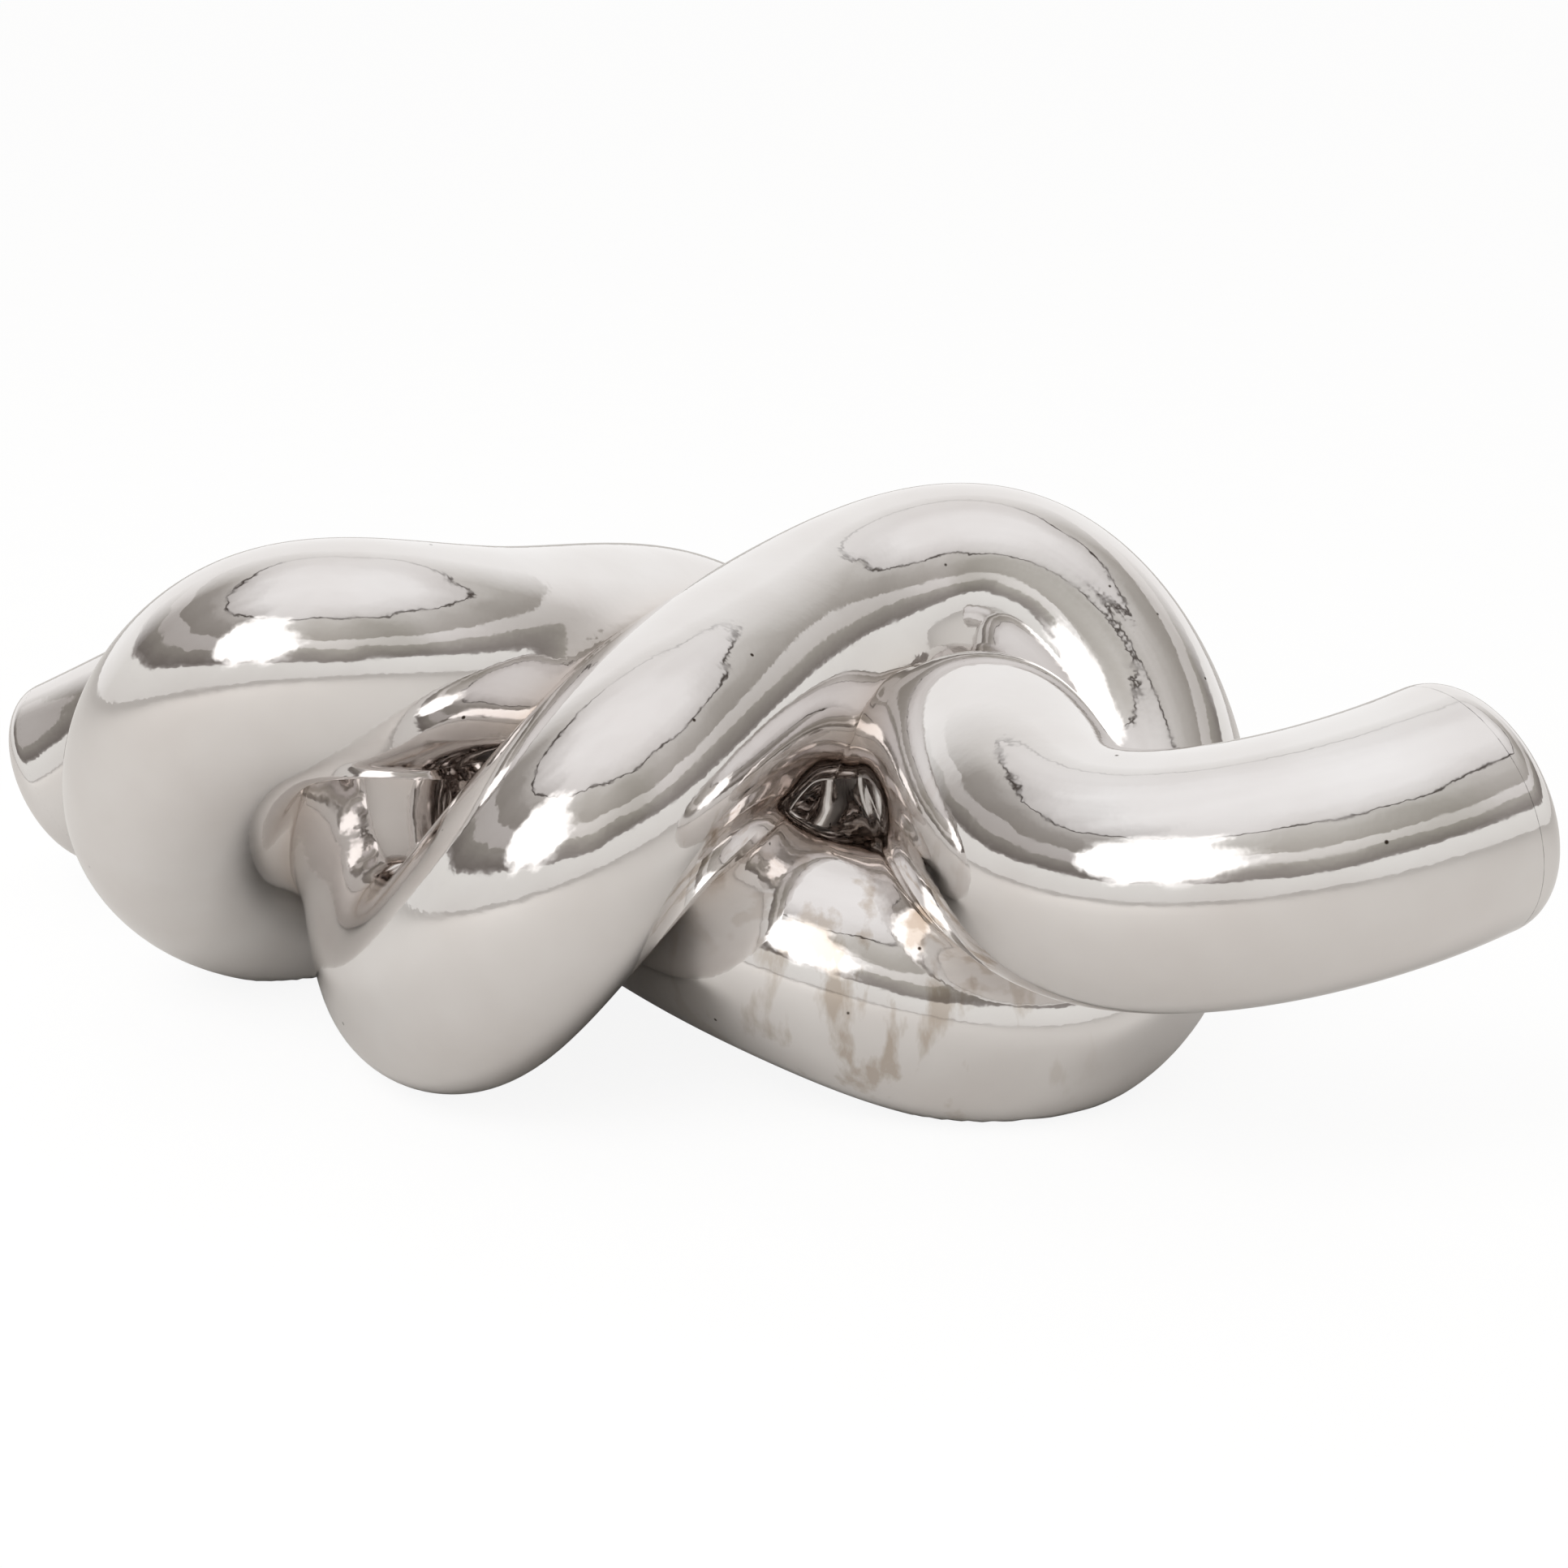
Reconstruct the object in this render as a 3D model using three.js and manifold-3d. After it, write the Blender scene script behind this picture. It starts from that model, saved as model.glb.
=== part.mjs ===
import * as THREE from 'three';
import { mergeVertices } from 'three/addons/utils/BufferGeometryUtils.js';
import Module from 'manifold-3d';

const wasm = await Module();
wasm.setup();

// Driving dimensions in millimetres
const STRAND_RADIUS = 32;
const STRAND_CLEARANCE = 1;
const WALL = 10;
const SLIP_LINE = 0.3;
const PRESS_GAP = 0.8;
const RIGHT_TAIL = 4;
const LEFT_TAIL = 4;
const END_DISC_THICKNESS = 9;
const END_RIM_RADIUS = 8;
const GROUND_DEPTH = 6.3;
const PAD_RADIUS = 8;
const PAD_THICKNESS = 1.5;
const PAD_GLUE_LINE = 0.2;
const VENT_RADIUS = 3;
const VENT_SETBACK = 18;

// The strand lies against itself, so its route is laid out in strand spacings
const SPACING = STRAND_RADIUS + STRAND_CLEARANCE;
const BORE_RADIUS = STRAND_RADIUS - WALL;
const SIDES = 24;
const BORE_SIDES = 10;
const STEP = 0.18;
const BORE_STEP = 0.3;

// Half of the knot's route, from the middle of the bridge to the front foot, in strand spacings.
// The other half is this one turned half a turn about the upright axis. The arms differ.
const HALF_ROUTE = [
  [0, 0, 1.39],
  [1.2, -1.95, 1.51],
  [3.43, -1.69, 0.48],
  [4.52, 0.24, 2.05],
  [3.26, 1.37, 4.06],
  [1.28, 0.87, 3.43],
  [-0.52, -2.94, 3.06],
  [-1.82, -1.67, 0.7],
  [-2.12, -0.06, 1.32],
];
const LEFT_ARM_ROUTE = [
  [-2.54, 0.73, 3.11],
  [-3.78, 2.72, 2.48],
  [-5.68, 3.79, 1.28],
  [-7.9, 3.68, 0.36],
];
const RIGHT_ARM_ROUTE = [
  [2.69, -0.87, 3.29],
  [2.6, -3.45, 2.3],
  [5.88, -3.72, 3.17],
  [7.77, -1.23, 3.62],
];
const LAST = HALF_ROUTE.length + LEFT_ARM_ROUTE.length - 2;
const FRONT_FOOT = 7.35;
const SIDE_FOOT = 1.9;
const LIFT = PAD_THICKNESS + PAD_GLUE_LINE - GROUND_DEPTH;

const halfTurned = HALF_ROUTE.slice(1).map(([x, y, z]) => [-x, -y, z]);
const controls = [
  ...[...halfTurned, ...RIGHT_ARM_ROUTE].reverse(),
  ...HALF_ROUTE,
  ...LEFT_ARM_ROUTE,
].map(([x, y, z]) => new THREE.Vector3(x * SPACING, y * SPACING, z * SPACING + LIFT));

class Strand extends THREE.Curve {
  // A cubic B-spline counted from the middle of the bridge, straight beyond both ends
  at(u) {
    const inside = THREE.MathUtils.clamp(u, -LAST, LAST);
    const v = Math.min(inside + LAST, 2 * LAST - 1e-9);
    const i = Math.floor(v);
    const f = v - i;
    const weights = [
      (1 - f) ** 3 / 6,
      (3 * f ** 3 - 6 * f ** 2 + 4) / 6,
      (-3 * f ** 3 + 3 * f ** 2 + 3 * f + 1) / 6,
      f ** 3 / 6,
    ];
    const point = new THREE.Vector3();
    weights.forEach((w, k) => point.addScaledVector(controls[i + k], w));
    return point.addScaledVector(this.slope(inside), u - inside);
  }

  slope(u) {
    const v = THREE.MathUtils.clamp(u + LAST, 0, 2 * LAST - 1e-9);
    const i = Math.floor(v);
    const f = v - i;
    const weights = [
      -((1 - f) ** 2) / 2,
      (3 * f ** 2 - 4 * f) / 2,
      (-3 * f ** 2 + 2 * f + 1) / 2,
      f ** 2 / 2,
    ];
    const slope = new THREE.Vector3();
    weights.forEach((w, k) => slope.addScaledVector(controls[i + k], w));
    return slope;
  }
}

const strand = new Strand();

function toSolid(geometry) {
  geometry.deleteAttribute('normal');
  geometry.deleteAttribute('uv');
  const merged = mergeVertices(geometry, 1e-5);
  return new wasm.Manifold(new wasm.Mesh({
    numProp: 3,
    vertProperties: new Float32Array(merged.attributes.position.array),
    triVerts: new Uint32Array(merged.index.array),
  }));
}

function sweep(from, to, radius, sides, step) {
  const count = Math.max(2, Math.ceil((to - from) / step));
  const positions = [];
  const index = [];
  let across = new THREE.Vector3(0, 0, 1);
  for (let j = 0; j <= count; j += 1) {
    const u = from + ((to - from) * j) / count;
    const centre = strand.at(u);
    const along = strand.slope(u).normalize();
    across = across.clone().addScaledVector(along, -across.dot(along)).normalize();
    const up = new THREE.Vector3().crossVectors(along, across);
    for (let i = 0; i < sides; i += 1) {
      const angle = (2 * Math.PI * i) / sides;
      const rim = centre.clone()
        .addScaledVector(across, radius * Math.cos(angle))
        .addScaledVector(up, radius * Math.sin(angle));
      positions.push(rim.x, rim.y, rim.z);
    }
  }
  for (let j = 0; j < count; j += 1) {
    for (let i = 0; i < sides; i += 1) {
      const a = j * sides + i;
      const b = j * sides + ((i + 1) % sides);
      index.push(a, b, b + sides, a, b + sides, a + sides);
    }
  }
  for (let i = 1; i < sides - 1; i += 1) {
    const end = count * sides;
    index.push(0, i + 1, i, end, end + i, end + i + 1);
  }
  const geometry = new THREE.BufferGeometry();
  geometry.setAttribute('position', new THREE.Float32BufferAttribute(positions, 3));
  geometry.setIndex(index);
  return toSolid(geometry);
}

const groundHeight = PAD_THICKNESS + PAD_GLUE_LINE;
const ground = new THREE.BoxGeometry(40 * STRAND_RADIUS, 40 * STRAND_RADIUS, 4 * STRAND_RADIUS);
ground.translate(0, 0, groundHeight - 2 * STRAND_RADIUS);
const groundSolid = toSolid(ground);

// A hollow length of the strand, its underside ground flat where it meets the table
function section(from, to) {
  const trimFrom = from + SLIP_LINE / 2 / strand.slope(from).length();
  const trimTo = to - SLIP_LINE / 2 / strand.slope(to).length();
  const over = 1 / strand.slope(from).length();
  const outer = sweep(trimFrom, trimTo, STRAND_RADIUS, SIDES, STEP);
  const bore = sweep(trimFrom - over, trimTo + over, BORE_RADIUS, BORE_SIDES, BORE_STEP);
  return outer.subtract(bore).subtract(groundSolid);
}

function turnedOut(profile, u, outward) {
  const geometry = new THREE.LatheGeometry(profile, SIDES);
  const along = strand.slope(u).normalize().multiplyScalar(outward);
  const turn = new THREE.Quaternion().setFromUnitVectors(new THREE.Vector3(0, 1, 0), along);
  geometry.applyQuaternion(turn);
  const foot = strand.at(u);
  geometry.translate(foot.x, foot.y, foot.z);
  return toSolid(geometry);
}

// The disc that closes an end, with a softened rim
function endDisc(u, outward) {
  const profile = [new THREE.Vector2(0, SLIP_LINE / 2), new THREE.Vector2(STRAND_RADIUS, SLIP_LINE / 2)];
  for (let i = 0; i <= 5; i += 1) {
    const angle = (Math.PI / 2) * (i / 5);
    profile.push(new THREE.Vector2(
      STRAND_RADIUS - END_RIM_RADIUS + END_RIM_RADIUS * Math.cos(angle),
      END_DISC_THICKNESS - END_RIM_RADIUS + END_RIM_RADIUS * Math.sin(angle),
    ));
  }
  profile.push(new THREE.Vector2(0, END_DISC_THICKNESS));
  return turnedOut(profile, u, outward);
}

function pad(u) {
  const centre = strand.at(u);
  const geometry = new THREE.CylinderGeometry(PAD_RADIUS, PAD_RADIUS, PAD_THICKNESS, SIDES);
  geometry.rotateX(Math.PI / 2);
  geometry.translate(centre.x, centre.y, PAD_THICKNESS / 2);
  return toSolid(geometry);
}

const endSpeed = strand.slope(LAST).length();
const leftEnd = LAST + LEFT_TAIL / endSpeed;
const rightEnd = -LAST - RIGHT_TAIL / endSpeed;

const ventAt = SIDE_FOOT + VENT_SETBACK / strand.slope(SIDE_FOOT).length();
const ventCentre = strand.at(ventAt);
const vent = new THREE.CylinderGeometry(VENT_RADIUS, VENT_RADIUS, ventCentre.z + 4, 16);
vent.rotateX(Math.PI / 2);
vent.translate(ventCentre.x, ventCentre.y, ventCentre.z / 2 - 2);

// Lengths of the strand between luted joints, with the whole ones first: each later one was
// pressed against those before it while soft, and takes their shape where they touch
const JOINTS = {
  front_diagonal: [5.3, 7],
  rear_diagonal: [-7, -5.3],
  right_loop_upper: [3.5, 5.3],
  left_loop_upper: [-5.3, -3.5],
  right_arm: [rightEnd, -9],
  left_arm: [9, leftEnd],
  right_loop_lower: [1.4, 3.5],
  left_loop_lower: [-3.5, -1.4],
  front_turn: [7, 9],
  rear_turn: [-9, -7],
  centre_bridge: [-1.4, 1.4],
};

function largest(solid) {
  return solid.decompose().sort((a, b) => b.volume() - a.volume())[0];
}

const solids = {};
const pressed = [];
for (const [name, [from, to]] of Object.entries(JOINTS)) {
  let solid = section(from, to);
  for (const other of pressed) {
    const joined = other.from === to || other.to === from;
    if (!joined) {
      solid = solid.subtract(other.body);
    }
  }
  solids[name] = largest(solid);
  const over = PRESS_GAP / strand.slope(from).length();
  const body = sweep(from - over, to + over, STRAND_RADIUS + PRESS_GAP, SIDES, STEP);
  pressed.push({ from, to, body });
}
solids.right_loop_lower = solids.right_loop_lower.subtract(toSolid(vent));
solids.left_end_disc = endDisc(leftEnd, 1);
solids.right_end_disc = endDisc(rightEnd, -1);
solids.right_pad = pad(SIDE_FOOT);
solids.left_pad = pad(-SIDE_FOOT);
solids.front_pad = pad(FRONT_FOOT);
solids.rear_pad = pad(-FRONT_FOOT);

const glaze = new THREE.MeshStandardMaterial({ color: 0xc9c7c3, roughness: 0.08, metalness: 1 });
const felt = new THREE.MeshStandardMaterial({ color: 0x3a3836, roughness: 0.95, metalness: 0 });

const knot = new THREE.Group();
knot.name = 'ceramic_knot';
const extent = new THREE.Box3();
for (const [name, solid] of Object.entries(solids)) {
  const mesh = solid.getMesh();
  const geometry = new THREE.BufferGeometry();
  const points = [];
  for (let i = 0; i < mesh.numVert; i += 1) {
    points.push(...mesh.vertProperties.slice(i * mesh.numProp, i * mesh.numProp + 3));
  }
  geometry.setAttribute('position', new THREE.Float32BufferAttribute(points, 3));
  geometry.setIndex([...mesh.triVerts]);
  geometry.computeVertexNormals();
  geometry.computeBoundingBox();
  extent.union(geometry.boundingBox);
  const node = new THREE.Mesh(geometry, name.endsWith('_pad') ? felt : glaze);
  node.name = name;
  knot.add(node);
}

// The origin is under the middle of the object, on the table
const middle = extent.getCenter(new THREE.Vector3());
for (const node of knot.children) {
  node.geometry.translate(-middle.x, -middle.y, 0);
}

export default knot;
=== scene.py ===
import math

import bmesh
import bpy
import numpy as np
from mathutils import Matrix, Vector


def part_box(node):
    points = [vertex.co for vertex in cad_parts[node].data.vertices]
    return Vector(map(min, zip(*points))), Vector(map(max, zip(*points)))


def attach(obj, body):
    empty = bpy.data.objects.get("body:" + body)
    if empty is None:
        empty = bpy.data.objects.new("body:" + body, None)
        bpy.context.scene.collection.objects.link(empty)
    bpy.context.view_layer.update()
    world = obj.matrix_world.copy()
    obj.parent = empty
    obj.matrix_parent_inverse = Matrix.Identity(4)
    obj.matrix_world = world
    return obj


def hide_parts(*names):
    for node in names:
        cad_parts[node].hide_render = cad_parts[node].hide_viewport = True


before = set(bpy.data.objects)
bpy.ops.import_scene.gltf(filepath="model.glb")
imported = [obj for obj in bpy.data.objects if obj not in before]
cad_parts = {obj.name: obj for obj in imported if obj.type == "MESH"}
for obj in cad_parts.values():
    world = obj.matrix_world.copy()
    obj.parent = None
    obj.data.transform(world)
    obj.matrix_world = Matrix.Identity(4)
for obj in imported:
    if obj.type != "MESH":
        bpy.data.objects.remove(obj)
print("stage: frame loaded")

# The strand in metres, and its route as in the part: half of the knot in strand spacings
strand = {
    "radius": 0.032,
    "spacing": 0.033,
    "lift": -0.0046,
    "ground": 0.0017,
    "rings": 880,
    "sides": 96,
    "fillet": 0.012,
    "filletPasses": 3,
    "creaseDepth": 0.014,
    "ownLength": 3.2,
    "rightTail": 0.004,
    "leftTail": 0.004,
}
halfRoute = [
    (0, 0, 1.39),
    (1.2, -1.95, 1.51),
    (3.43, -1.69, 0.48),
    (4.52, 0.24, 2.05),
    (3.26, 1.37, 4.06),
    (1.28, 0.87, 3.43),
    (-0.52, -2.94, 3.06),
    (-1.82, -1.67, 0.7),
    (-2.12, -0.06, 1.32),
]
leftArm = [
    (-2.54, 0.73, 3.11),
    (-3.78, 2.72, 2.48),
    (-5.68, 3.79, 1.28),
    (-7.9, 3.68, 0.36),
]
rightArm = [
    (2.69, -0.87, 3.29),
    (2.6, -3.45, 2.3),
    (5.88, -3.72, 3.17),
    (7.77, -1.23, 3.62),
]
last = len(halfRoute) + len(leftArm) - 2


def boxMiddle(node):
    low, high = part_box(node)
    return (low + high) / 2


# The upright axis of the half turn runs midway between opposite pads
pads = ["front_pad", "rear_pad", "left_pad", "right_pad"]
axisPoint = sum((boxMiddle(n) for n in pads), Vector()) / len(pads)


def controlPoints():
    half = np.array(halfRoute, float)
    other = np.vstack([half[1:] * [-1, -1, 1], rightArm])[::-1]
    points = np.vstack([other, half, leftArm]) * strand["spacing"]
    return points + [axisPoint.x, axisPoint.y, strand["lift"]]


def routeAt(values):
    controls = controlPoints()
    inside = np.clip(values, -last, last)
    place = np.minimum(inside + last, 2 * last - 1e-9)
    first = place.astype(int)
    part = (place - first)[:, None]
    weights = [
        (1 - part) ** 3 / 6,
        (3 * part**3 - 6 * part**2 + 4) / 6,
        (-3 * part**3 + 3 * part**2 + 3 * part + 1) / 6,
        part**3 / 6,
    ]
    slopes = [
        -((1 - part) ** 2) / 2,
        (3 * part**2 - 4 * part) / 2,
        (-3 * part**2 + 2 * part + 1) / 2,
        part**2 / 2,
    ]
    point = sum(w * controls[first + k] for k, w in enumerate(weights))
    slope = sum(w * controls[first + k] for k, w in enumerate(slopes))
    return point + slope * (values - inside)[:, None], slope


def linear(hexColour):
    channels = [int(hexColour[i : i + 2], 16) / 255 for i in (1, 3, 5)]
    return [c / 12.92 if c <= 0.04045 else ((c + 0.055) / 1.055) ** 2.4 for c in channels] + [1]


def addNode(tree, kind, inputs=None, **settings):
    node = tree.nodes.new(kind)
    for name, value in settings.items():
        setattr(node, name, value)
    for key, value in (inputs or {}).items():
        if isinstance(value, bpy.types.NodeSocket):
            tree.links.new(value, node.inputs[key])
        else:
            node.inputs[key].default_value = value
    return node


def newMaterial(name):
    material = bpy.data.materials.new(name)
    material.use_nodes = True
    tree = material.node_tree
    return material, tree, tree.nodes["Principled BSDF"]


def ramp(tree, factor, stops, interpolation="LINEAR"):
    node = addNode(tree, "ShaderNodeValToRGB", {"Fac": factor})
    node.color_ramp.interpolation = interpolation
    elements = node.color_ramp.elements
    while len(elements) < len(stops):
        elements.new(1)
    for element, (position, colour) in zip(elements, stops):
        element.position = position
        element.color = linear(colour)
    return node.outputs["Color"]


# Silver lustre over a gloss glaze: orange peel, hairlines, pinholes and painted brown shade where strands
# touch
glazeLook = {"peel": 30, "fine": 420, "pits": 60, "hairs": 38}
# Painted brown shade in streaky patches low on the front-right foot
contactShadeLook = {"drop": (-0.045, -0.03, 0.04), "reach": 0.07, "grain": 95}


# Mask of the painted shade: a spherical fade near the front-right foot times streaky noise patches
def contactShadeMask(tree, place):
    centre = boxMiddle("right_pad") + Vector(contactShadeLook["drop"])
    near = addNode(
        tree,
        "ShaderNodeMapping",
        {"Vector": place, "Location": centre, "Scale": (contactShadeLook["reach"],) * 3},
        vector_type="TEXTURE",
    )
    fade = addNode(
        tree,
        "ShaderNodeTexGradient",
        {"Vector": near.outputs[0]},
        gradient_type="SPHERICAL",
    )
    drawn = addNode(tree, "ShaderNodeMapping", {"Vector": place, "Scale": (1, 1, 0.35)})
    shadePatches = addNode(
        tree,
        "ShaderNodeTexNoise",
        {"Vector": drawn.outputs[0], "Scale": contactShadeLook["grain"], "Detail": 5},
    )
    spots = addNode(
        tree,
        "ShaderNodeMapRange",
        {"Value": shadePatches.outputs["Fac"], "From Min": 0.54, "From Max": 0.62, "To Max": 0.8},
    )
    mask = addNode(
        tree,
        "ShaderNodeMath",
        {0: fade.outputs["Fac"], 1: spots.outputs[0]},
        operation="MULTIPLY",
    )
    return mask.outputs[0]


def glazeMaterial():
    material, tree, shader = newMaterial("silver_glaze")
    place = addNode(tree, "ShaderNodeTexCoord").outputs["Object"]
    crease = addNode(tree, "ShaderNodeAttribute", attribute_name="crease").outputs["Fac"]
    cloud = addNode(tree, "ShaderNodeTexNoise", {"Vector": place, "Scale": 22, "Detail": 4})
    silver = ramp(tree, cloud.outputs["Fac"], [(0.3, "#dedad8"), (0.7, "#e8e6e5")])
    creaseShade = addNode(
        # Painted shade: the crease value turns the colour brown in the creases where strands touch
        tree,
        "ShaderNodeMath",
        {0: crease, 1: cloud.outputs["Fac"]},
        operation="MULTIPLY",
    )
    brown = addNode(tree, "ShaderNodeMix", data_type="RGBA")
    tree.links.new(creaseShade.outputs[0], brown.inputs[0])
    tree.links.new(silver, brown.inputs[6])
    brown.inputs[7].default_value = linear("#cabfb5")
    # Painted shade turns the colour brown near the front-right foot
    contactShaded = addNode(tree, "ShaderNodeMix", data_type="RGBA")
    tree.links.new(contactShadeMask(tree, place), contactShaded.inputs[0])
    tree.links.new(brown.outputs[2], contactShaded.inputs[6])
    contactShaded.inputs[7].default_value = linear("#ac9b88")
    pits = addNode(tree, "ShaderNodeTexVoronoi", {"Vector": place, "Scale": glazeLook["pits"]})
    pitSpot = ramp(tree, pits.outputs["Distance"], [(0.022, "#4a4138"), (0.04, "#ffffff")])
    pitted = addNode(tree, "ShaderNodeMix", data_type="RGBA", blend_type="MULTIPLY")
    pitted.inputs[0].default_value = 1
    tree.links.new(contactShaded.outputs[2], pitted.inputs[6])
    tree.links.new(pitSpot, pitted.inputs[7])
    tree.links.new(pitted.outputs[2], shader.inputs["Base Color"])
    shader.inputs["Metallic"].default_value = 1
    stretched = addNode(
        tree,
        "ShaderNodeMapping",
        {"Vector": place, "Rotation": (0.4, 0.7, 0.5), "Scale": (1, 9, 9)},
    )
    hairs = addNode(
        tree,
        "ShaderNodeTexNoise",
        {"Vector": stretched.outputs[0], "Scale": glazeLook["hairs"], "Detail": 3},
    )
    rough = addNode(
        tree,
        "ShaderNodeMapRange",
        {"Value": hairs.outputs["Fac"], "From Min": 0.45, "From Max": 0.75, "To Min": 0.035, "To Max": 0.12},
    )
    tree.links.new(rough.outputs[0], shader.inputs["Roughness"])
    peel = addNode(tree, "ShaderNodeTexNoise", {"Vector": place, "Scale": glazeLook["peel"], "Detail": 2})
    fine = addNode(tree, "ShaderNodeTexNoise", {"Vector": place, "Scale": glazeLook["fine"], "Detail": 1})
    wide = addNode(
        tree,
        "ShaderNodeBump",
        {"Height": peel.outputs["Fac"], "Strength": 0.13, "Distance": 0.0014},
    )
    small = addNode(
        tree,
        "ShaderNodeBump",
        {
            "Height": fine.outputs["Fac"],
            "Strength": 0.2,
            "Distance": 0.0001,
            "Normal": wide.outputs[0],
        },
    )
    tree.links.new(small.outputs[0], shader.inputs["Normal"])
    return material


def feltMaterial():
    material, tree, shader = newMaterial("felt")
    place = addNode(tree, "ShaderNodeTexCoord").outputs["Object"]
    fibres = addNode(tree, "ShaderNodeTexNoise", {"Vector": place, "Scale": 900, "Detail": 5})
    colour = ramp(tree, fibres.outputs["Fac"], [(0.3, "#2c2a28"), (0.7, "#4a4744")])
    tree.links.new(colour, shader.inputs["Base Color"])
    shader.inputs["Roughness"].default_value = 0.95
    bump = addNode(tree, "ShaderNodeBump", {"Height": fibres.outputs["Fac"], "Distance": 0.0004})
    tree.links.new(bump.outputs[0], shader.inputs["Normal"])
    return material


glaze = glazeMaterial()
felt = feltMaterial()
print("stage: materials made")


def sweepTree():
    tree = bpy.data.node_groups.new("strandSweep", "GeometryNodeTree")
    face = tree.interface
    face.new_socket("Geometry", in_out="INPUT", socket_type="NodeSocketGeometry")
    face.new_socket("Radius", in_out="INPUT", socket_type="NodeSocketFloat")
    face.new_socket("Sides", in_out="INPUT", socket_type="NodeSocketInt")
    face.new_socket("Material", in_out="INPUT", socket_type="NodeSocketMaterial")
    face.new_socket("Geometry", in_out="OUTPUT", socket_type="NodeSocketGeometry")
    start = tree.nodes.new("NodeGroupInput")
    curve = addNode(tree, "GeometryNodeMeshToCurve", {"Mesh": start.outputs["Geometry"]})
    profile = addNode(
        tree,
        "GeometryNodeCurvePrimitiveCircle",
        {"Resolution": start.outputs["Sides"], "Radius": start.outputs["Radius"]},
    )
    swept = addNode(
        tree,
        "GeometryNodeCurveToMesh",
        {"Curve": curve.outputs[0], "Profile Curve": profile.outputs[0]},
    )
    smooth = addNode(tree, "GeometryNodeSetShadeSmooth", {"Geometry": swept.outputs[0]})
    real = addNode(tree, "GeometryNodeRealizeInstances", {"Geometry": smooth.outputs[0]})
    dressed = addNode(
        tree,
        "GeometryNodeSetMaterial",
        {"Geometry": real.outputs[0], "Material": start.outputs["Material"]},
    )
    addNode(tree, "NodeGroupOutput", {"Geometry": dressed.outputs[0]})
    return tree


def linkObject(name, mesh):
    obj = bpy.data.objects.new(name, mesh)
    bpy.context.scene.collection.objects.link(obj)
    return obj


def sweepStrand(points):
    mesh = bpy.data.meshes.new("routeLine")
    edges = [(i, i + 1) for i in range(len(points) - 1)]
    mesh.from_pydata([tuple(p) for p in points], edges, [])
    line = linkObject("routeLine", mesh)
    modifier = line.modifiers.new("sweep", "NODES")
    modifier.node_group = sweepTree()
    values = {"Radius": strand["radius"], "Sides": strand["sides"], "Material": glaze}
    for item in modifier.node_group.interface.items_tree:
        if item.in_out == "INPUT" and item.name in values:
            modifier[item.identifier] = values[item.name]
    bpy.context.view_layer.update()
    graph = bpy.context.evaluated_depsgraph_get()
    swept = bpy.data.meshes.new_from_object(line.evaluated_get(graph))
    bpy.data.objects.remove(line)
    return swept


endSpeed = np.linalg.norm(routeAt(np.array([float(last)]))[1][0])
ends = (-last - strand["rightTail"] / endSpeed, last + strand["leftTail"] / endSpeed)
along = np.linspace(ends[0], ends[1], strand["rings"])
centres, slopes = routeAt(along)


def otherStrand(points, ringOf):
    # Distance from each point to the nearest other length of the strand, in batches to save memory
    farAway = 1.0
    batch = 4000
    lengths = np.r_[0, np.cumsum(np.linalg.norm(np.diff(centres, axis=0), axis=1))]
    picks = np.arange(0, len(centres), 2)
    found = np.full(len(points), farAway)
    for begin in range(0, len(points), batch):
        chunk = slice(begin, begin + batch)
        gap = np.linalg.norm(points[chunk, None] - centres[None, picks], axis=2)
        apart = np.abs(lengths[ringOf[chunk]][:, None] - lengths[picks][None])
        gap[apart < strand["ownLength"] * strand["spacing"]] = farAway
        found[chunk] = gap.min(axis=1) - strand["radius"]
    return found


def buildSkin():
    mesh = sweepStrand(centres)
    count = len(mesh.vertices)
    points = np.empty(count * 3)
    mesh.vertices.foreach_get("co", points)
    points = points.reshape(-1, 3)
    ringOf = np.repeat(np.arange(strand["rings"]), count // strand["rings"])
    outward = points - centres[ringOf]
    outward /= np.linalg.norm(outward, axis=1)[:, None]
    blend = strand["fillet"]
    grown = np.zeros(count)
    for step in range(strand["filletPasses"]):
        other = otherStrand(points + outward * grown[:, None], ringOf)
        share = np.clip(1 - np.abs(other - grown) / blend, 0, 1)
        grown = 0.5 * grown + 0.5 * np.where(other > -blend, share**2 * blend / 4, grown)
    # Crease value that drives the painted brown shade in the glaze colour
    crease = np.clip(1 - other / strand["creaseDepth"], 0, 1)
    points = points + outward * grown[:, None]
    points[:, 2] = np.maximum(points[:, 2], strand["ground"])
    mesh.vertices.foreach_set("co", points.ravel())
    layer = mesh.attributes.new("crease", "FLOAT", "POINT")
    layer.data.foreach_set("value", (crease**2).astype(np.float32))
    mesh.update()
    return linkObject("glaze_skin", mesh)


skin = buildSkin()
sections = [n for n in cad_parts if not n.endswith("_pad") and not n.endswith("_disc")]
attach(skin, "root")
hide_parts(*sections)
print("stage: skin", len(skin.data.polygons), "faces")

endLook = {"thickness": 0.009, "rim": 0.008, "sides": 96, "crown": 0.0012}


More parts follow.
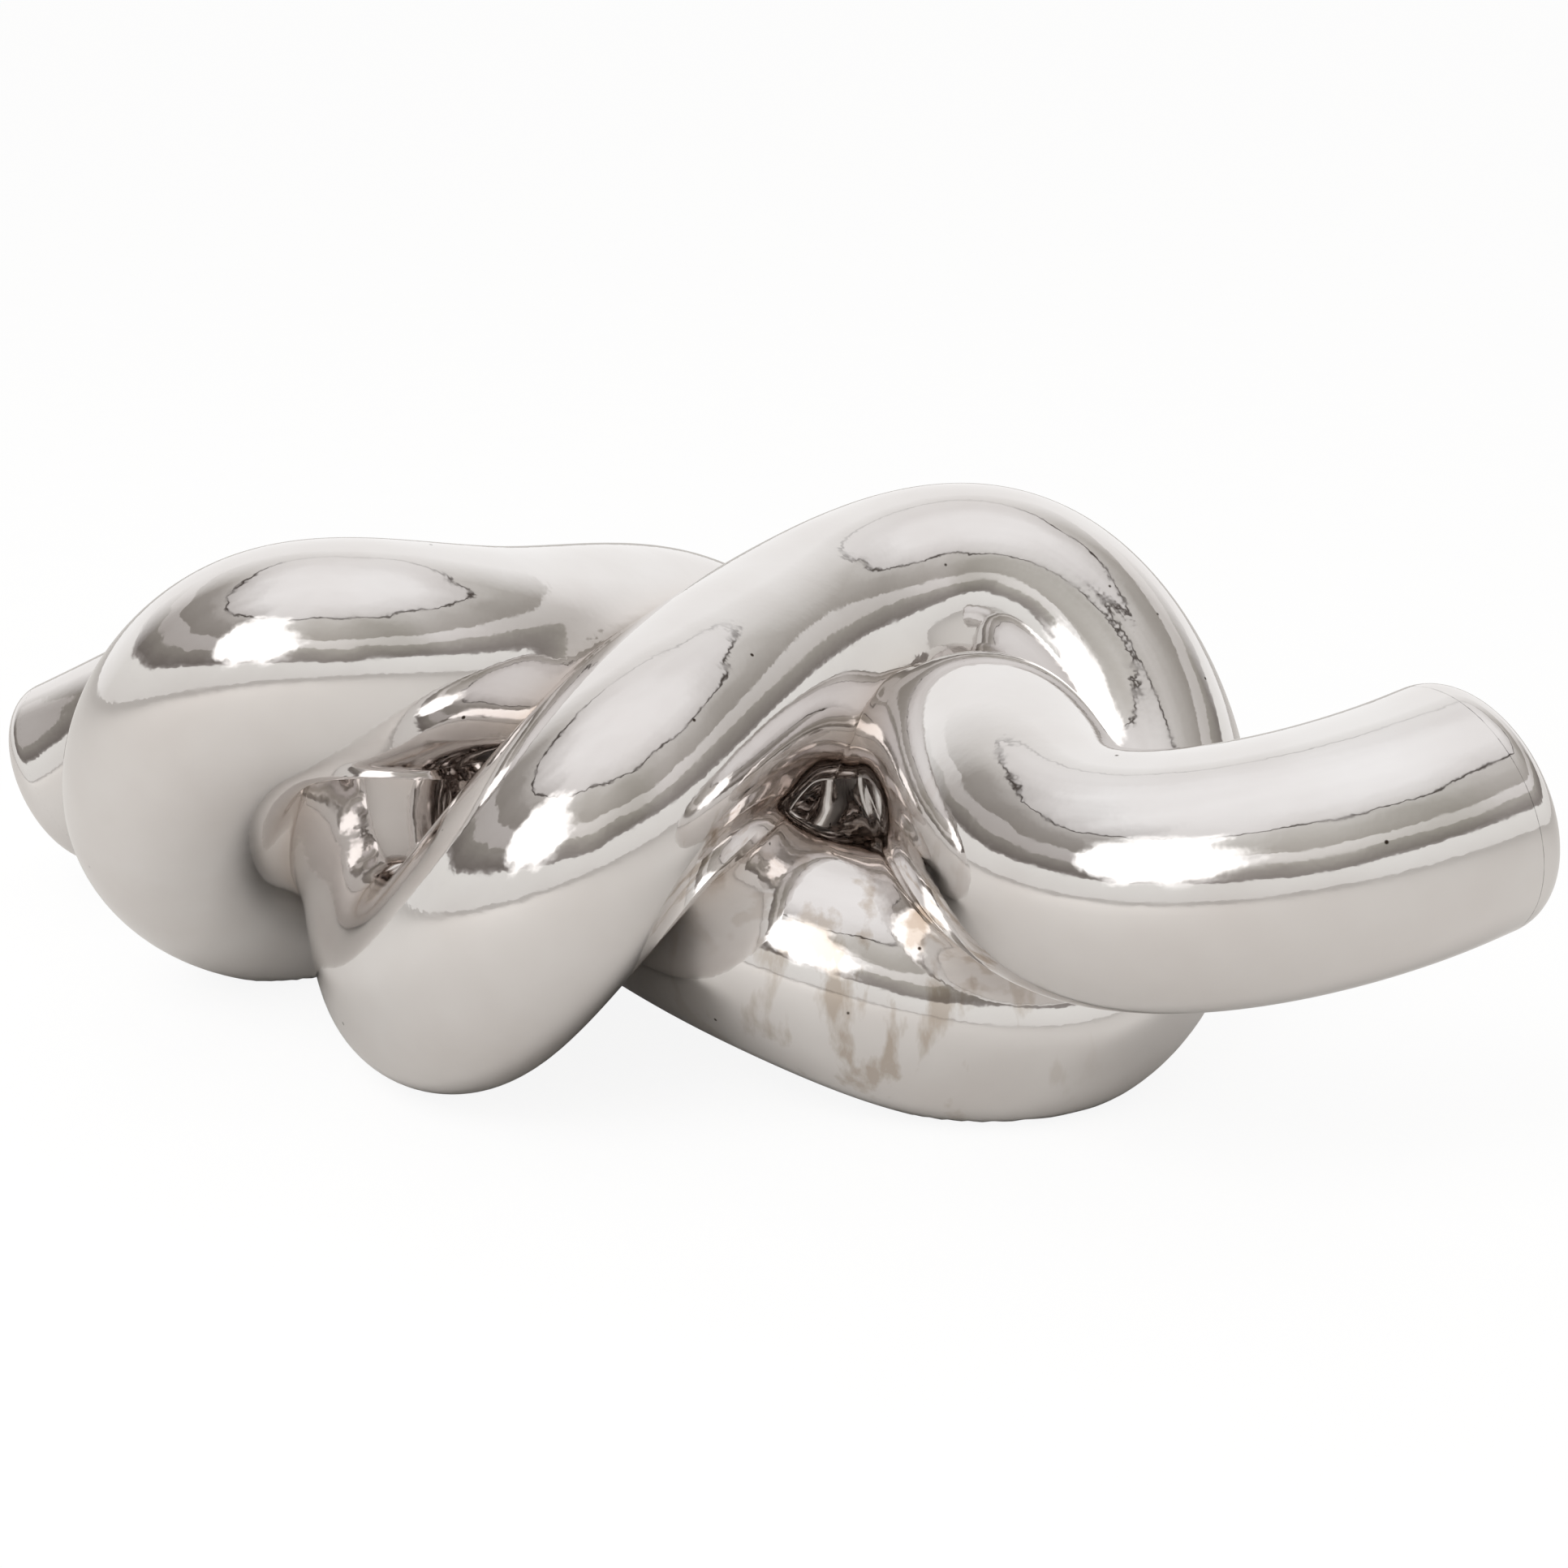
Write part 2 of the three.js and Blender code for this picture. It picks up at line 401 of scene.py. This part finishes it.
def buildEnd(name, ring, outward):
    axis = Vector(slopes[ring]).normalized() * outward
    centre = Vector(centres[ring])
    turn = axis.to_track_quat("Z", "Y")
    radius, rim, depth = strand["radius"], endLook["rim"], endLook["thickness"]
    profile = [(radius, -0.0002), (radius, depth - rim)]
    for step in range(1, 13):
        angle = math.pi / 2 * step / 12
        profile.append((radius - rim + rim * math.cos(angle), depth - rim + rim * math.sin(angle)))
    for step in range(1, 10):
        share = 1 - step / 10
        reach = (radius - rim) * share
        profile.append((reach, depth + endLook["crown"] * (1 - share**2)))
    builder = bmesh.new()
    rings = []
    for reach, height in profile:
        ringVerts = []
        for side in range(endLook["sides"]):
            angle = 2 * math.pi * side / endLook["sides"]
            local = Vector((reach * math.cos(angle), reach * math.sin(angle), height))
            ringVerts.append(builder.verts.new(centre + turn @ local))
        rings.append(ringVerts)
    for low, high in zip(rings, rings[1:]):
        for side in range(endLook["sides"]):
            after = (side + 1) % endLook["sides"]
            builder.faces.new((low[side], low[after], high[after], high[side]))
    builder.faces.new(rings[-1])
    for face in builder.faces:
        face.smooth = True
    mesh = bpy.data.meshes.new(name)
    builder.to_mesh(mesh)
    builder.free()
    mesh.materials.append(glaze)
    piece = linkObject(name + "_glazed", mesh)
    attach(piece, "root")
    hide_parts(name)


buildEnd("left_end_disc", -1, 1)
buildEnd("right_end_disc", 0, -1)
print("stage: ends")

padLook = {"bevel": 0.0003, "sides": 64}


def buildPad(node):
    low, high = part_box(node)
    middle = (low + high) / 2
    builder = bmesh.new()
    bmesh.ops.create_cone(
        builder,
        cap_ends=True,
        segments=padLook["sides"],
        radius1=(high.x - low.x) / 2,
        radius2=(high.x - low.x) / 2,
        depth=high.z - low.z,
    )
    bmesh.ops.translate(builder, verts=builder.verts, vec=middle)
    rims = [e for e in builder.edges if abs(e.verts[0].co.z - e.verts[1].co.z) < 1e-6]
    bmesh.ops.bevel(builder, geom=rims, offset=padLook["bevel"], segments=2, affect="EDGES")
    mesh = bpy.data.meshes.new(node)
    builder.to_mesh(mesh)
    builder.free()
    mesh.materials.append(felt)
    piece = linkObject(node + "_felt", mesh)
    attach(piece, "root")
    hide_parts(node)


for node in pads:
    buildPad(node)
print("stage: pads")

stageLook = {"floor": "#f5f5f4", "mirrored": "#d3d1ce", "size": 60.0, "shadow": 0.1}


def buildFloor():
    mesh = bpy.data.meshes.new("floor")
    half = stageLook["size"] / 2
    corners = [(-half, -half, 0), (half, -half, 0), (half, half, 0), (-half, half, 0)]
    mesh.from_pydata(corners, [], [(0, 1, 2, 3)])
    floor = linkObject("floor", mesh)
    material, tree, shader = newMaterial("floor")
    place = addNode(tree, "ShaderNodeTexCoord").outputs["Object"]
    grain = addNode(tree, "ShaderNodeTexNoise", {"Vector": place, "Scale": 30})
    colour = ramp(tree, grain.outputs["Fac"], [(0.3, stageLook["floor"]), (0.7, "#f8f8f7")])
    path = addNode(tree, "ShaderNodeLightPath")
    toned = addNode(tree, "ShaderNodeMix", data_type="RGBA")
    tree.links.new(path.outputs["Is Glossy Ray"], toned.inputs[0])
    tree.links.new(colour, toned.inputs[6])
    toned.inputs[7].default_value = linear(stageLook["mirrored"])
    tree.links.new(toned.outputs[2], shader.inputs["Base Color"])
    shader.inputs["Roughness"].default_value = 0.9
    white = addNode(tree, "ShaderNodeEmission", {"Color": linear("#ffffff"), "Strength": 1})
    seen = path.outputs["Is Camera Ray"]
    share = addNode(tree, "ShaderNodeMath", {0: seen, 1: 1 - stageLook["shadow"]}, operation="MULTIPLY")
    mixed = addNode(
        tree,
        "ShaderNodeMixShader",
        {0: share.outputs[0], 1: shader.outputs[0], 2: white.outputs[0]},
    )
    tree.links.new(mixed.outputs[0], tree.nodes["Material Output"].inputs["Surface"])
    mesh.materials.append(material)


buildFloor()
print("stage: floor")

# The studio that the lustre mirrors: a pale sweep, grey walls, a soft window and a dark seam
studio = {"strength": 1.2, "flash": 2.2, "window": (-0.43, -0.72, 0.54), "backdrop": "#eeedec"}
wallTones = [
    (0.0, "#d6d4d1"),
    (0.24, "#e0dfdc"),
    (0.252, "#8f8a87"),
    (0.33, "#a39f9b"),
    (0.42, "#bcbab4"),
    (0.428, "#e6e4e2"),
    (0.55, "#f1f0ef"),
    (0.558, "#b9b6b1"),
    (0.7, "#cccac6"),
    (0.778, "#d6d4d1"),
    (0.783, "#453d38"),
    (0.788, "#453d38"),
    (0.795, "#e0dedd"),
    (1.0, "#f1f0f0"),
]
panelTones = [
    (0.0, "#e6e4e1"),
    (0.05, "#ffffff"),
    (0.11, "#ffffff"),
    (0.135, "#a19b98"),
    (0.3, "#99938f"),
    (0.4, "#dad7d5"),
    (0.6, "#e9e7e6"),
    (0.72, "#bab6b2"),
    (0.84, "#dcd9d8"),
    (0.89, "#bab7b0"),
    (1.0, "#e6e4e1"),
]
panelReach = [(0.25, "#000000"), (0.28, "#dddddd"), (0.7, "#dddddd"), (0.92, "#000000")]


def windowMask(tree, way, wobble):
    toward = addNode(tree, "ShaderNodeVectorMath", {0: way, 1: studio["window"]}, operation="DOT_PRODUCT")
    ragged = addNode(
        tree,
        "ShaderNodeMapRange",
        {"Value": wobble, "From Min": 0.3, "From Max": 0.7, "To Min": -0.05, "To Max": 0.05},
    )
    total = addNode(
        tree,
        "ShaderNodeMath",
        {0: toward.outputs["Value"], 1: ragged.outputs[0]},
        operation="ADD",
    )
    return ramp(tree, total.outputs[0], [(0.91, "#000000"), (0.975, "#ffffff")], "EASE")


def buildWorld():
    world = bpy.data.worlds.new("studio")
    bpy.context.scene.world = world
    world.use_nodes = True
    tree = world.node_tree
    tree.nodes.clear()
    way = addNode(tree, "ShaderNodeTexCoord").outputs["Generated"]
    wobble = addNode(tree, "ShaderNodeTexNoise", {"Vector": way, "Scale": 3, "Detail": 3}).outputs["Fac"]
    split = addNode(tree, "ShaderNodeSeparateXYZ", {0: way})
    sway = addNode(tree, "ShaderNodeMapRange", {"Value": wobble, "To Min": -0.09, "To Max": 0.09})
    height = addNode(tree, "ShaderNodeMath", {0: split.outputs["Z"], 1: sway.outputs[0]}, operation="ADD")
    wall = ramp(tree, height.outputs[0], wallTones)
    turn = addNode(
        tree,
        "ShaderNodeMath",
        {0: split.outputs["X"], 1: split.outputs["Y"]},
        operation="ARCTAN2",
    )
    sector = addNode(
        tree,
        "ShaderNodeMapRange",
        {"Value": turn.outputs[0], "From Min": -math.pi, "From Max": math.pi},
    )
    panels = ramp(tree, sector.outputs[0], panelTones, "EASE")
    tinted = addNode(tree, "ShaderNodeMix", data_type="RGBA", blend_type="MULTIPLY")
    tree.links.new(ramp(tree, height.outputs[0], panelReach), tinted.inputs[0])
    tree.links.new(wall, tinted.inputs[6])
    tree.links.new(panels, tinted.inputs[7])
    behind = addNode(
        tree,
        "ShaderNodeMapRange",
        {"Value": split.outputs["Y"], "From Min": 0.4, "From Max": 0.75},
    )
    backed = addNode(tree, "ShaderNodeMix", data_type="RGBA")
    tree.links.new(behind.outputs[0], backed.inputs[0])
    tree.links.new(tinted.outputs[2], backed.inputs[6])
    backed.inputs[7].default_value = linear(studio["backdrop"])
    room = addNode(
        tree,
        "ShaderNodeBackground",
        {"Color": backed.outputs[2], "Strength": studio["strength"]},
    )
    flash = addNode(tree, "ShaderNodeBackground", {"Color": linear("#fdfcfb"), "Strength": studio["flash"]})
    lit = addNode(
        tree,
        "ShaderNodeMixShader",
        {0: windowMask(tree, way, wobble), 1: room.outputs[0], 2: flash.outputs[0]},
    )
    white = addNode(tree, "ShaderNodeBackground", {"Color": linear("#ffffff"), "Strength": 1})
    seen = addNode(tree, "ShaderNodeLightPath").outputs["Is Camera Ray"]
    mixed = addNode(tree, "ShaderNodeMixShader", {0: seen, 1: lit.outputs[0], 2: white.outputs[0]})
    addNode(tree, "ShaderNodeOutputWorld", {"Surface": mixed.outputs[0]})


windowLook = {"width": 1.1, "height": 0.7, "watts": 14, "place": (-0.7, -0.9, 1.3), "aim": (0, 0, 0.06)}


def buildWindow():
    light = bpy.data.lights.new("window", "AREA")
    light.shape = "RECTANGLE"
    light.size = windowLook["width"]
    light.size_y = windowLook["height"]
    light.energy = windowLook["watts"]
    lamp = bpy.data.objects.new("window", light)
    lamp.location = windowLook["place"]
    aim = Vector(windowLook["aim"]) - lamp.location
    lamp.rotation_euler = aim.to_track_quat("-Z", "Y").to_euler()
    lamp.visible_glossy = False
    bpy.context.scene.collection.objects.link(lamp)


buildWorld()
buildWindow()
print("stage: studio")

view = {
    "elevation": 18.81,
    "distance": 21.78,
    "lens": 57.7,
    "shiftX": 0.0785,
    "shiftY": 0.0213,
    "height": 2.0,
}


def buildCamera():
    data = bpy.data.cameras.new("camera")
    data.sensor_width = 36
    data.lens = view["lens"]
    data.shift_x = view["shiftX"]
    data.shift_y = view["shiftY"]
    camera = bpy.data.objects.new("camera", data)
    target = Vector((axisPoint.x, axisPoint.y, view["height"] * strand["spacing"] + strand["lift"]))
    rise = math.radians(view["elevation"])
    back = Vector((0, -math.cos(rise), math.sin(rise)))
    camera.location = target + back * view["distance"] * strand["spacing"]
    camera.rotation_euler = (-back).to_track_quat("-Z", "Y").to_euler()
    bpy.context.scene.collection.objects.link(camera)
    bpy.context.scene.camera = camera


buildCamera()
scene = bpy.context.scene
scene.view_settings.view_transform = "Standard"
scene.cycles.max_bounces = 32
scene.cycles.glossy_bounces = 32
scene.render.resolution_x = 1932
scene.render.resolution_y = 1932
